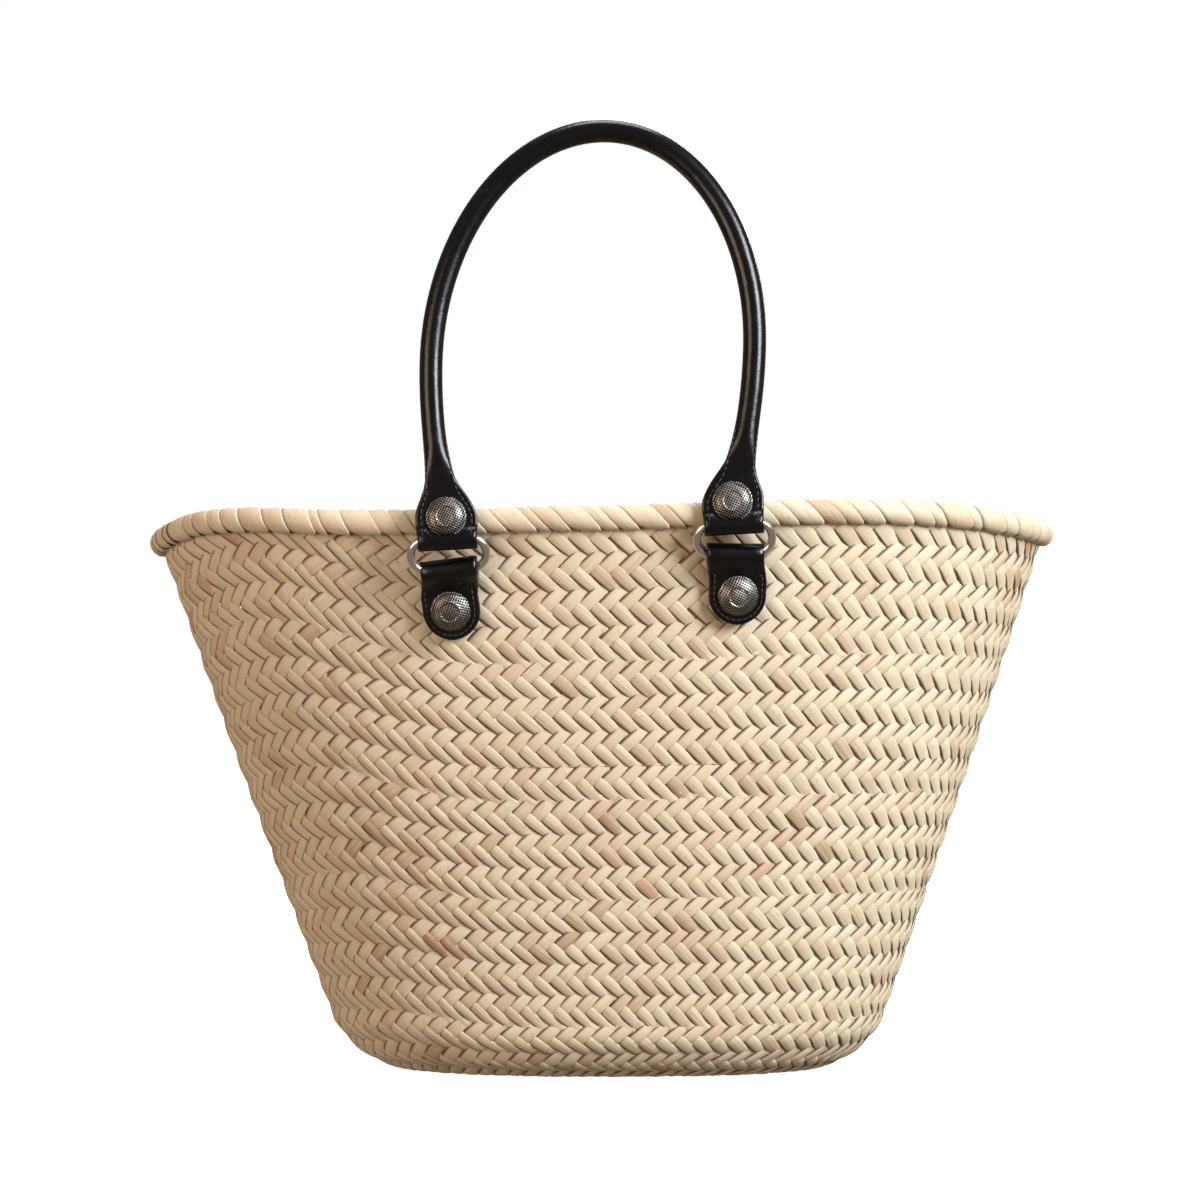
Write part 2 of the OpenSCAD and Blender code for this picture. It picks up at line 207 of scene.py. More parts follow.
def plan_point(a, z, inset):
    """Point at plan angle a and height z, set in from the outside of the wall."""
    c = np.cos(a)
    s = np.sin(a)
    x = (half_size(z, BASE_LENGTH, RIM_LENGTH) - inset) * np.sign(c) * np.abs(c) ** (2 / PLAN_POWER)
    y = (half_size(z, BASE_WIDTH, RIM_WIDTH) - inset) * np.sign(s) * np.abs(s) ** (2 / PLAN_POWER)
    return np.stack(np.broadcast_arrays(x + BASE_SHIFT * (1 - z / RIM_HEIGHT), y, z), -1)


def wall_point(a, run, depth):
    """Point at plan angle a, a distance run up from the edge of the base and depth inside the skin.

    A run below 0 goes inwards over the base."""
    b = np.clip(run / CORNER_R, 0, math.pi / 2)
    r = CORNER_R - depth
    rise = np.maximum(run - CORNER_RUN, 0) / WALL_RUN * (rim_z(a) - CORE_R - CORNER_R)
    z = CORNER_R - r * np.cos(b) + rise
    inset = CORNER_R - r * np.sin(b) + np.maximum(-run, 0)
    return plan_point(a, z, inset)


def angle_table(run):
    """Plan angles at equal distances around the wall at that run, and the distance around it."""
    a = np.linspace(0, 2 * math.pi, AROUND)
    length = lengths_along(wall_point(a, np.full_like(a, run), 0.0))
    return length / length[-1], a, length[-1]


# ---- the plait ----

BANDS = 34                       # rows of floats from the base's edge to the rim
BAND_LOW = 8.6                   # height of the lowest band
BAND_HIGH = 2 * TOTAL_RUN / BANDS - BAND_LOW
COURSE_BANDS = [0, 6, 14, 20, 28, 34]       # where the five courses begin and end
COLUMN_WIDTHS = [9.0, 9.4, 9.8, 10.2, 10.45]
CYCLE = 4                        # rows in which a strip runs over and under once
END_ROWS = 0.8                   # how many rows a strip runs past its course
SAMPLES_PER_ROW = 3.2
TOP_REACH = 2.5                  # how far the top course runs on into the rim roll
TUCK_START = 0.45                # how many rows before its end a strip begins to turn in
TUCK_ROWS = 0.95                 # in how many rows it does so
TUCK_LEVEL = 1.05                # how low it gets, where 1 is under a strip
MIDDLE = 1.50                    # depth of the plait's middle under the skin
SWING = 0.64                     # how far a strip runs over and under that middle
LEAF_T = 1.05                    # thickness of a strip at its centre
SKIN_MARGIN = 0.1                # how far a strip stays from the wall's inside
OUTSIDE_MARGIN = 0.05            # and from its outside
FLOATS_KEPT = 40                 # floats of one strip that have a tone of their own
SPLIT_SHARE = 0.13               # part of the floats that show a split down the middle
SPLIT_DIP = 0.8
SPLIT_SHIFT = 0.48               # shifts the middle of a split float in the across mask of the painted crevice shade
# Cross-section of a strip: position across it, and height over its middle
SECTION = [
    (-1, 0.0), (-0.87, 0.70), (0, 1.0), (0.87, 0.70),
    (1, 0.0), (0.87, -0.70), (0, -1.0), (-0.87, -0.70),
]
UV_ROW = 7.0                     # millimetres of the UV map in a row
UV_HALF_STRIP = 3.6
UV_STRIP_STEP = 9.7              # shifts the streaks from one strip to the next
UV_TONE_STEP = 31.0
VALLEY = 0.9                     # how much deeper the plait lies where two braids are joined
# How far the rows rise or sink around the basket, by plan angle in degrees
ROW_WAVE = [
    (0, -8), (90, -3), (180, 0), (205, 7), (229, 17), (253, -14), (270, -13), (300, -12), (360, -8),
]
WAVE_SOFTNESS = 6.0              # degrees
WAVE_FADE = 0.8


def band_run(b):
    return BAND_LOW * b + (BAND_HIGH - BAND_LOW) * b * np.abs(b) / (2 * BANDS)


def row_wave(a, run):
    """Rise of the rows at plan angle a, which fades towards the base."""
    turn = np.degrees(a) % 360
    grid = np.arange(-360, 721)
    knots = np.array(ROW_WAVE)
    level = np.interp(grid % 360, knots[:, 0], knots[:, 1])
    kernel = np.exp(-0.5 * (np.arange(-24, 25) / WAVE_SOFTNESS) ** 2)
    smooth = np.convolve(level, kernel / kernel.sum(), mode="same")
    share = np.clip(run / TOTAL_RUN, 0, 1)
    return np.interp(turn, grid, smooth) * share ** WAVE_FADE


def row_run(r, a):
    """Run of row r at plan angle a."""
    run = band_run((r + 0.5) / 2)
    return run + row_wave(a, run)


def joined_share(r):
    """1 in the rows where two braids are joined, 0 halfway between them."""
    return (1 + np.cos(2 * math.pi * (r + 0.5) / CYCLE)) / 2


def weave_level(r):
    """1 where the falling strips run over the rising ones, -1 where they run under them."""
    turn = 2 * math.pi * (r - 0.5) / CYCLE
    bias = 0.22 * (1 - np.cos(turn)) / 2 * joined_share(r)
    wave = np.cos(turn) + 2 * bias - 0.04
    return np.tanh(2.1 * wave) / math.tanh(2.1)


def strip_family(falling, columns, table, rows, over_end):
    """Points, colours and UVs of all strips of one direction in a course between two rows."""
    low, high = rows
    samples = int((high - low + 2 * END_ROWS) * SAMPLES_PER_ROW)
    sign = -1 if falling else 1
    index = np.arange(columns, dtype=float)[:, None]
    share, angles, _ = table

    def angle(u):
        return np.interp((u / columns) % 1.0, share, angles)

    def scatter(smallest, largest):
        return rng.uniform(smallest, largest, (columns, 1))

    top = np.full((columns, 1), high + END_ROWS)
    if over_end:
        # The top course runs on until it is inside the rim roll.
        for _ in range(4):
            run = TOTAL_RUN + TOP_REACH - row_wave(angle(index + sign * top / 2), TOTAL_RUN)
            band = np.linspace(0, 45, 901)
            top = np.interp(run, band_run(band), band) * 2 - 0.5
    r = low - END_ROWS + (top - low + END_ROWS) * np.linspace(0, 1, samples)[None, :]
    wobble = 0.035 * np.sin(r * scatter(0.3, 0.9) + scatter(0, 6.3))
    centre = index + sign * r / 2 + rng.normal(0, 0.018, (columns, 1)) + wobble

    level = weave_level(r) * (1 if falling else -1)
    tuck_low = smoothstep((low + TUCK_START - r) / TUCK_ROWS)
    tuck_high = 0 if over_end else smoothstep((r - high + TUCK_START) / TUCK_ROWS)
    tuck = np.maximum(tuck_low, tuck_high)
    level = level * (1 - tuck) - TUCK_LEVEL * tuck
    flutter = 0.10 * np.sin(r * math.pi / 2 + scatter(0, 6.3))
    joined = joined_share(r)
    depth = MIDDLE - SWING * (level + flutter) + VALLEY * joined * (1 - tuck)

    fill = np.clip(rng.normal(1.07, 0.03, (columns, 1)), 0.99, 1.14) * np.ones_like(r)
    pinch = 1 - 0.03 * (1 - level) / 2 - 0.07 * joined ** 6
    lean = 0.30 + 0.12 * np.sin(r * 1.35 + scatter(0, 6.3))
    tone = scatter(0, 1)
    float_index = np.floor((r - (-0.5 if falling else 1.5)) / CYCLE).astype(int) + 8
    float_place = (np.arange(columns)[:, None], float_index % FLOATS_KEPT)
    float_tone = rng.uniform(0, 1, (columns, FLOATS_KEPT))[float_place]
    split = (rng.uniform(0, 1, (columns, FLOATS_KEPT)) < SPLIT_SHARE)[float_place] * np.clip(level, 0, 1)
    across, height = np.array(SECTION).T
    t = across[None, None, :] * (fill * pinch)[..., None]
    u = centre[..., None] + t / 4
    v = r[..., None] + (t / 2 if falling else -t / 2)
    thick = LEAF_T / 2 * scatter(0.85, 1.15)[..., None]
    centre_line = (across == 0)[None, None, :]
    height = height[None, None, :] * (1 - SPLIT_DIP * split[..., None] * centre_line)
    sunk = depth[..., None] - height * thick - lean[..., None] * across[None, None, :]
    a = angle(u)
    grid = wall_point(a, row_run(v, a), np.clip(sunk, OUTSIDE_MARGIN, WALL_T - SKIN_MARGIN))

    ones = np.ones_like(sunk)
    # The third colour channel, the place across the strip, is the mask of the painted crevice shade on its
    # sunk edge.
    place_across = (across[None, None, :] + 1) / 2 * ones + SPLIT_SHIFT * split[..., None] * centre_line
    colors = np.stack([tone[..., None] * ones, float_tone[..., None] * ones,
                       place_across, (level[..., None] + 1) / 2 * ones], -1)
    length = r * UV_ROW
    uvs = np.stack([across[None, None, :] * UV_HALF_STRIP + index[..., None] * UV_STRIP_STEP + 0 * sunk,
                    length[..., None] + UV_TONE_STEP * tone[..., None] + 0 * sunk], -1)
    return grid, colors, uvs


def weave_course(name, bands, columns, nodes, over_end=False):
    """One turn of the plait as a piece: falling and rising strips that pass over and under."""
    rows = (2 * bands[0] - 0.5, 2 * bands[1] - 0.5)
    table = angle_table(float(band_run(sum(bands) / 2)))
    points = []
    faces = []
    colors = []
    uvs = []
    first = 0
    for falling in (True, False):
        grid, color, uv = strip_family(falling, columns, table, rows, over_end)
        flat, parts = many_tubes(grid)
        points.append(flat)
        faces += [part + first for part in parts]
        colors.append(color.reshape(-1, 4))
        uvs.append(uv.reshape(-1, 2))
        first += len(flat)
    piece = new_object(name, np.concatenate(points), faces, "basket",
                       np.concatenate(colors), np.concatenate(uvs))
    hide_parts(*nodes)
    return piece


def columns_at(bands, width):
    """Whole number of columns of about that width in the middle of a course."""
    return int(round(angle_table(float(band_run(sum(bands) / 2)))[2] / width))


def make_basket():
    pieces = []
    base_rings = [weave_course("base_outer_plait", (-3, 0), 55, ["base_plait"]),
                  weave_course("base_inner_plait", (-7, -3), 34, ["base_plait"])]
    top = len(COLUMN_WIDTHS) - 1
    for k, width in enumerate(COLUMN_WIDTHS):
        bands = (COURSE_BANDS[k], COURSE_BANDS[k + 1])
        pieces.append(weave_course(f"wall_plait_{k + 1}", bands, columns_at(bands, width),
                                   [f"wall_course_{k + 1}"], over_end=k == top))
    return base_rings + pieces


# ---- the rim ----

WRAP_PITCH = 11.6
WRAP_STATIONS = 17
WRAP_OVERLAP = 1.10
WRAP_EXTRA = 0.5
WRAP_START = -100                # angle around the roll in degrees, from inside the wall
WRAP_END = 280
# Millimetres that a wrap travels along the rim in its turn, by plan angle in degrees
WRAP_SLANT = [
    (0, 10), (40, 24), (140, 24), (180, 10), (215, 14),
    (240, 17), (265, 30), (300, 27), (335, 15), (360, 10),
]
RIM_SLOPE = 0.017                # radians to both sides at which the rim's direction is taken


def rim_frame(a):
    """Centre of the rim roll and its outward direction at plan angle a."""
    centre = plan_point(a, rim_z(a), WALL_T / 2)
    ahead = plan_point(a + RIM_SLOPE, rim_z(a + RIM_SLOPE), WALL_T / 2)
    behind = plan_point(a - RIM_SLOPE, rim_z(a - RIM_SLOPE), WALL_T / 2)
    along = ahead - behind
    along /= np.linalg.norm(along, axis=-1, keepdims=True)
    out = np.stack([along[..., 1], -along[..., 0], 0 * along[..., 0]], -1)
    out /= np.linalg.norm(out, axis=-1, keepdims=True)
    up = np.cross(out, along)
    up *= np.sign(up[..., 2:3])
    lift = plan_point(a, rim_z(a) + 1, 0) - plan_point(a, rim_z(a) - 1, 0)
    lean = np.arctan2((lift * out).sum(-1), 2.0)
    return centre, out, up, lean


def make_rim():
    """Palm strips wound around the rim rope, one closed ribbon for each turn."""
    a = np.linspace(0, 2 * math.pi, AROUND)
    length = lengths_along(rim_frame(a)[0])
    count = int(length[-1] / WRAP_PITCH)
    pitch = length[-1] / count
    seam = (np.arange(count) + rng.uniform(-0.30, 0.30, count)) * pitch
    gap = np.diff(np.append(seam, seam[0] + length[-1]))
    start = seam + gap / 2
    wide = gap * WRAP_OVERLAP + WRAP_EXTRA
    around = np.degrees(np.interp(start % length[-1], length, a))
    slant = np.interp(around, *zip(*WRAP_SLANT)) + rng.normal(0, 0.5, count)

    # Angle around the roll: from inside the wall, up the outside, over the top and down the inside
    turn = np.linspace(WRAP_START, WRAP_END, WRAP_STATIONS)[None, :]
    across, height = np.array(SECTION).T
    share = (turn + 60) / 300
    along = start[:, None] - slant[:, None] * share
    # Each strip narrows to its ends, which leaves small dark gaps where it enters the wall.
    narrow = 1 - 0.42 * smoothstep((-30 - turn) / 45) - 0.42 * smoothstep((turn - 210) / 45)
    along = along[..., None] + across * (wide[:, None] / 2 * narrow)[..., None]
    sunk = smoothstep((-62 - turn) / 40) + smoothstep((turn - 242) / 40)
    tilt = 0.36 * across[None, None, :]
    thick = 0.45 * rng.uniform(0.8, 1.2, (count, 1, 1))
    radius = ROLL_R - 0.95 - 2.6 * sunk[..., None] + height * thick + tilt
    radius = radius + 0.18 * np.sin(3.1 * along / pitch + start[:, None, None])
    angle = np.interp(along % length[-1], length, a)
    centre, out, up, lean = rim_frame(angle)
    b = np.radians(turn)[..., None] - lean
    grid = centre + out * (radius * np.cos(b))[..., None] + up * (radius * np.sin(b))[..., None]

    tone = rng.uniform(0, 1, (count, 1, 1)) + 0 * radius
    # The third colour channel, the place across the wrap, is the mask of the painted crevice shade on its
    # sunk edge.
    colors = np.stack([tone, rng.uniform(0, 1, (count, 1, 1)) + 0 * radius,
                       (across + 1) / 2 + 0 * radius, np.ones_like(radius)], -1)
    uvs = np.stack([across * 6 + 17.0 * np.arange(count)[:, None, None] + 0 * radius,
                    turn[..., None] * 0.13 + 0 * radius + 50 * tone], -1)
    points, faces = many_tubes(grid)
    piece = new_object("rim_wrapping", points, faces, "basket", colors.reshape(-1, 4), uvs.reshape(-1, 2))
    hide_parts("rim_binding")
    return piece


# ---- places of the hardware ----


def move(x=0.0, y=0.0, z=0.0):
    m = np.eye(4)
    m[:3, 3] = (x, y, z)
    return m


def turn_about(axis, degrees):
    c = math.cos(math.radians(degrees))
    s = math.sin(math.radians(degrees))
    m = np.eye(4)
    i, j = {"x": (1, 2), "y": (2, 0), "z": (0, 1)}[axis]
    m[i, i] = c
    m[j, j] = c
    m[i, j] = -s
    m[j, i] = s
    return m


def mirrored(end):
    return np.diag([1.0, -1.0 if end == BACK else 1.0, 1.0, 1.0])


def joint_place(name):
    joint = next(j for j in frame["joints"] if j["name"] == name)
    return np.array(joint["pos_m"]) / MM


HINGE = joint_place("front_ring_swing")
HINGE_Y = -HINGE[1]
HINGE_Z = HINGE[2]
RING_LEAN = math.degrees(math.asin((HINGE[1] - joint_place("front_handle_turn")[1]) / BAR_GAP))
# The back ring hangs: its angle from straight up comes from the place of its upper bar.
BACK_UPPER = joint_place("back_handle_turn")
RING_DOWN = 180 - math.degrees(math.asin((BACK_UPPER[1] - HINGE_Y) / BAR_GAP))


def apply(m, points):
    return points @ m[:3, :3].T + m[:3, 3]


def hinge_frame(end):
    return mirrored(end) @ move(HANDLE_X, -HINGE_Y, HINGE_Z) @ turn_about("y", -TILT)


def ring_frame(end):
    """Frame of a ring: Z from its lower bar to its upper bar."""
    return hinge_frame(end) @ turn_about("x", RING_LEAN if end == FRONT else RING_DOWN)


def handle_frame(end):
    """Frame of a handle: Z up its feet, from the upper ring bars."""
    stand = -RING_LEAN - HANDLE_LEAN
    if end == BACK:
        stand += 180 - RING_DOWN + HANDLE_LEAN + RING_LEAN
    return ring_frame(end) @ move(z=BAR_GAP) @ turn_about("x", stand)


def wall_y(x, z):
    """Distance of the front wall's outside from the XZ plane."""
    u = abs(x - BASE_SHIFT * (1 - z / RIM_HEIGHT)) / half_size(z, BASE_LENGTH, RIM_LENGTH)
    return half_size(z, BASE_WIDTH, RIM_WIDTH) * (1 - u ** PLAN_POWER) ** (1 / PLAN_POWER)


def tab_frame(end, side):
    """Frame of a tab's stud: Z up the wall, -Y away from it, Y = 0 on the wall's outside."""
    x = HANDLE_X + side * FOOT_HALF + STUD_DROP * math.sin(math.radians(TILT))
    z = HINGE_Z - STUD_DROP + side * FOOT_HALF * math.sin(math.radians(TILT))
    yaw = math.degrees(math.atan((wall_y(x - 5, z) - wall_y(x + 5, z)) / 10))
    pitch = math.degrees(math.atan((wall_y(x, z + 5) - wall_y(x, z - 5)) / 10))
    place = mirrored(end) @ move(x, -wall_y(x, z), z)
    return place @ turn_about("z", yaw) @ turn_about("x", pitch) @ turn_about("y", -TILT + side * TAB_SPLAY)


# ---- leather ----

SIDES = 40
STITCH_INSET = 2.6               # from a strap's edge to its line of stitches
STUD_SEAT_R = 10.0               # leather is flat within this radius of a stud
STUD_SEAT_EASE = 2.5


def leather_outline(w, t, power, notch, crease):
    """Closed outline of a strap's section: half width w, half thickness t, squarer with power.

    notch cuts in between the two layers at each side, and crease presses in the line of stitches."""
    b = 2 * math.pi * (np.arange(SIDES) + 0.5) / SIDES
    c = np.cos(b)
    s = np.sin(b)
    x = w * np.sign(c) * np.abs(c) ** (2 / power)
    y = t * np.sign(s) * np.abs(s) ** (2 / power)
    x = x - notch * np.sign(c) * np.exp(-(y / 0.35) ** 2)
    pressed = crease * np.exp(-((w - np.abs(x) - STITCH_INSET) / 0.8) ** 2)
    return x, y - np.sign(s) * pressed * (np.abs(y) > 0.4)


def press_under_studs(points, centres, face):
    """Flattens the front of the leather onto the plane Y = -face where a stud's head sits on it."""
    for x, z in centres:
        away = np.hypot(points[:, 0] - x, points[:, 2] - z)
        keep = smoothstep((away - STUD_SEAT_R) / STUD_SEAT_EASE)
        proud = np.minimum(points[:, 1] + face, 0)
        points[:, 1] = np.where(points[:, 1] < -face, -face + proud * keep, points[:, 1])


def strap(name, stations, place, body, end, studs=(), face=0.0):
    """Leather body lofted through stations: centre, across direction, sizes of the section."""
    rings = []
    uvs = []
    run = 0.0
    last = None
    for centre, across, w, t, power, notch, crease in stations:
        x, y = leather_outline(w, t, power, notch, crease)
        centre = np.array(centre)
        run += 0 if last is None else np.linalg.norm(centre - last)
        last = centre
        rings.append(centre + np.outer(x, across) + np.outer(y, [0, 1, 0]))
        uvs.append(np.stack([x + (y > 0) * 40, np.full_like(x, run)], -1))
    grid = np.array(rings)[None]
    points, faces = many_tubes(grid)
    press_under_studs(points, studs, face)
    piece = new_object(name, apply(place, points), faces, body, uvs=np.array(uvs).reshape(-1, 2),
                       flip=end == BACK)
    return piece


def handle_point(side, h):
    """Centre of a leg at height h over its ring bar."""
    rise = max(h - STUD_RISE, 0)
    bow = (ARCH_HALF - FOOT_HALF) * math.cos(math.pi / 2 * (1 - rise / (ARCH_BASE - STUD_RISE)))
    return side * (FOOT_HALF + bow) + SKEW * rise


def smooth_max(a, b, k):
    return math.log(math.exp(a * k) + math.exp(b * k)) / k


def fold_depth(h, r):
    """Half thickness of a fold of radius r at height h over the middle of its bar."""
    if h < 0:
        return math.sqrt(max(r * r - h * h, 0.16))
    return smooth_max(LEATHER_T, math.sqrt(max(r * r - h * h, 0.01)), 2.2)


FLARE_TOP = 60                   # where a leg begins to widen to its foot
FOOT_SHOULDER = 33               # where it widens fast
FLAT_TOP = 47                    # where the tube begins to flatten
FOOT_HALF_WIDTH = 16.1


def foot_section(h):
    """Half width, front and back depth, squareness, notch and crease of the handle at height h."""
    flare = np.clip((FLARE_TOP - h) / (FLARE_TOP - STUD_RISE), 0, 1)
    w = TUBE_R + 5.0 * flare ** 2 + 5.1 * float(smoothstep((FOOT_SHOULDER - h) / 20))
    flat = float(smoothstep((FLAT_TOP - h) / 25))
    front = back = TUBE_R * (1 - flat) + LEATHER_T * flat
    if h < STUD_RISE:
        w = FOLD_W + (FOOT_HALF_WIDTH - FOLD_W) * float(smoothstep((h + 2) / 12))
        front = fold_depth(h, LOOP_FRONT_R)
        back = fold_depth(h, LOOP_R)
    power = 2 + 3.5 * flat
    notch = 0.9 * flat * float(smoothstep((h - 1) / 4))
    crease = 0.30 * flat * float(smoothstep((h + 2) / 4))
    return w, front, back, power, notch, crease


ARCH_STEPS = 72


def handle_stations():
    """Stations of a whole handle, from the left fold over the arch to the right fold."""
    foot = [-5.98, -5.8, -5.4, -4.7, -3.6, -2.0, 0, 1.6, 3, 4.5, 6, 8, 10, 12, 14, 17, 20]
    leg = [float(h) for h in np.arange(23, ARCH_BASE, 4.0)]
    heights = foot + leg
    centres = [(handle_point(LEFT, h), 0, h) for h in heights]
    sections = [foot_section(h) for h in heights]
    for i in range(ARCH_STEPS + 1):
        t = math.pi - math.pi * i / ARCH_STEPS
        h = ARCH_BASE + ARCH_RISE * math.sin(t)
        centres.append((ARCH_HALF * math.cos(t) + SKEW * (h - STUD_RISE), 0, h))
        sections.append((TUBE_R, TUBE_R, TUBE_R, 2, 0, 0))
    for h in reversed(heights):
        centres.append((handle_point(RIGHT, h), 0, h))
        sections.append(foot_section(h))
    stations = []
    for i, (centre, section) in enumerate(zip(centres, sections)):
        before = np.array(centres[max(i - 1, 0)])
        after = np.array(centres[min(i + 1, len(centres) - 1)])
        along = (after - before) / np.linalg.norm(after - before)
        flat = 1 - float(smoothstep((centre[2] - 8) / 20))
        down = np.array([0, 0, 1.0 if i < len(centres) / 2 else -1.0])
        along = along * (1 - flat) + down * flat
        along /= np.linalg.norm(along)
        across = np.array([along[2], 0, -along[0]])
        w, front, back, power, notch, crease = section
        centre = (centre[0], (back - front) / 2, centre[2])
        stations.append((centre, across, w, (front + back) / 2, power, notch, crease))
    return stations


# One stitch: place along it and radius
STITCH_RINGS = [(-1.25, 0.10), (-0.95, 0.30), (0, 0.36), (0.95, 0.30), (1.25, 0.10)]
STITCH_SIDES = 6
STITCH_SINK = 0.05               # how far the middle of a stitch lies under the leather's face
HANDLE_STITCH_PITCH = 3.3
TAB_STITCH_PITCH = 3.1


def stitch_tubes(places):
    """Small thread capsules at (point, direction along, direction out) rows."""
    places = np.asarray(places, dtype=float)
    point = places[:, 0]
    along = places[:, 1] / np.linalg.norm(places[:, 1], axis=-1, keepdims=True)
    out = places[:, 2] / np.linalg.norm(places[:, 2], axis=-1, keepdims=True)
    side = np.cross(along, out)
    b = 2 * math.pi * np.arange(STITCH_SIDES) / STITCH_SIDES
    grid = np.zeros((len(places), len(STITCH_RINGS), STITCH_SIDES, 3))
    for i, (shift, radius) in enumerate(STITCH_RINGS):
        for j in range(STITCH_SIDES):
            offset = side * math.cos(b[j]) * radius + out * math.sin(b[j]) * radius
            grid[:, i, j] = point + along * shift + offset
    return many_tubes(grid)


def stitches(name, places, place, body, end):
    points, faces = stitch_tubes(places)
    piece = new_object(name, apply(place, points), faces, body, flip=end == BACK)
    return piece


SLOPE_REACH = 0.3                # how far to both sides a line's direction is taken


def resample(points, pitch):
    """Points at an even pitch along a line, with the direction at each."""
    points = np.asarray(points, dtype=float)
    length = lengths_along(points)
    at = np.arange(pitch / 2, length[-1], pitch)

    def points_at(where):
        return np.stack([np.interp(where, length, points[:, k]) for k in range(points.shape[1])], -1)

    return points_at(at), points_at(at + SLOPE_REACH) - points_at(at - SLOPE_REACH)


def make_handle(end):
    name = END_NAMES[end]
    place = handle_frame(end)
    body = f"{name}_handle"
    studs = [(side * FOOT_HALF, STUD_RISE) for side in (LEFT, RIGHT)]
    cover = strap(f"{name}_handle_leather", handle_stations(), place, body, end, studs, LEATHER_T)
    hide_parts(f"{name}_handle_cover")
    rows = []
    for side in (LEFT, RIGHT):
        for edge in (LEFT, RIGHT):
            for face in (-1, 1):
                line = []
                for h in np.linspace(1.0, 50, 40):
                    w, front, back, _, _, _ = foot_section(h)
                    t = front if face < 0 else back
                    inset = STITCH_INSET * float(smoothstep((w - TUBE_R) / 6)) + 0.4
                    depth = t * (1 - 0.35 * float(smoothstep((h - 26) / 20)))
                    x = handle_point(side, h) + edge * (w - inset)
                    line.append((x, face * (depth - STITCH_SINK), h))
                even, along = resample(line, HANDLE_STITCH_PITCH)
                rows += [(p, d, (0, face, 0)) for p, d in zip(even, along)]
    thread = stitches(f"{name}_handle_stitches", rows, place, body, end)
    return [cover], [thread]


# Angles in degrees at which a tab's fold and its round end get a station
FOLD_ANGLES = [4, 14, 27, 42, 58, 74, 90]
ROUND_ANGLES = [0, 12, 24, 36, 48, 58, 67, 75, 82, 87.5]
BELOW_BAR = (1.6, 3.2, 4.8, 6.4, 8.0, 10.0, 12.5, 15.0)
FRONT_SLOPE = 13                 # length of the front layer's slope below the bar
BACK_SLOPE = 7
TAB_EDGE_INSET = 2.5


def tab_stations(end, side):
    """Stations down a tab, from the top of its fold to its round end, in the tab's frame."""
    bar = np.linalg.inv(tab_frame(end, side)) @ hinge_frame(end) @ np.array([side * FOOT_HALF, 0, 0, 1])
    bar_x, bar_y, bar_z = bar[:3]
    centre_z = TAB_HALF - (TAB_LENGTH - STUD_DROP)
    face = -SEAT_GAP - 2 * LEATHER_T
    heights = [bar_z + LOOP_FRONT_R * math.cos(t) for t in np.radians(FOLD_ANGLES)]
    heights += [bar_z - d for d in BELOW_BAR]
    heights += [centre_z - TAB_HALF * math.sin(t) for t in np.radians(ROUND_ANGLES)]
    stations = []
    for z in heights:
        d = z - bar_z
        bow = math.sqrt(max(LOOP_FRONT_R ** 2 - d * d, 0.05))
        back_bow = min(bow, LOOP_R - 0.1)
        if d > 0:
            low, high = bar_y - bow, bar_y + back_bow
        else:
            # The front layer leaves the bar in a long slope, and the back layer turns in at once.
            share = float(smoothstep(-d / FRONT_SLOPE))
            low = face * share + (bar_y - LOOP_FRONT_R) * (1 - share)
            share = float(smoothstep(-d / BACK_SLOPE))
            high = -SEAT_GAP * share + (bar_y + back_bow) * (1 - share)
        w = TAB_HALF
        if z < centre_z:
            w = math.sqrt(max(TAB_HALF ** 2 - (z - centre_z) ** 2, 0.1))
        flat = float(smoothstep(-d / 6))
        x = bar_x * float(smoothstep((z - 6) / (bar_z - 6)))
        stations.append(((x, (low + high) / 2, z), np.array([1.0, 0, 0]), w, (high - low) / 2,
                         5.5, 0.7 * flat, 0.28 * flat))
    return stations, bar, centre_z, face


def make_tab(end, side):
    name = f"{END_NAMES[end]}_{SIDE_NAMES[side]}_tab"
    place = tab_frame(end, side)
    stations, bar, centre_z, face = tab_stations(end, side)
    leather = strap(f"{name}_leather", stations, place, "basket", end)
    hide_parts(name)
    r = TAB_HALF - TAB_EDGE_INSET
    edge = [(-r, face, z) for z in np.linspace(bar[2] - 7, centre_z, 10)]
    edge += [(-r * math.cos(t), face, centre_z - r * math.sin(t))
             for t in np.linspace(0.1, math.pi - 0.1, 40)]
    edge += [(r, face, z) for z in np.linspace(centre_z, bar[2] - 7, 10)]
    arch = [(x, face, 13.4 - 3.2 * (x / r) ** 2) for x in np.linspace(-r + 1, r - 1, 30)]
    rows = []
    for line in (edge, arch):
        even, along = resample(line, TAB_STITCH_PITCH)
        rows += [(p + np.array([0, -STITCH_SINK, 0]), d, (0, -1, 0)) for p, d in zip(even, along)]
    thread = stitches(f"{name}_stitches", rows, place, "basket", end)
    return leather, thread


# ---- studs ----

# Radius and height of a stud's head over the leather, from its centre to its edge
STUD_PROFILE = [
    (1.0, 4.73), (2.0, 4.66), (3.0, 4.54), (4.0, 4.36), (4.6, 4.22),
    (4.95, 4.62), (5.35, 4.80), (5.75, 4.58), (6.1, 4.12), (7.0, 3.76), (8.0, 3.24), (8.8, 2.68),
    (9.3, 2.16), (9.6, 1.75), (9.75, 1.50), (9.95, 1.45),
    (10.2, 1.42), (10.42, 1.20), (10.5, 0.8), (10.5, 0.0),
]
STUD_SIDES = 64


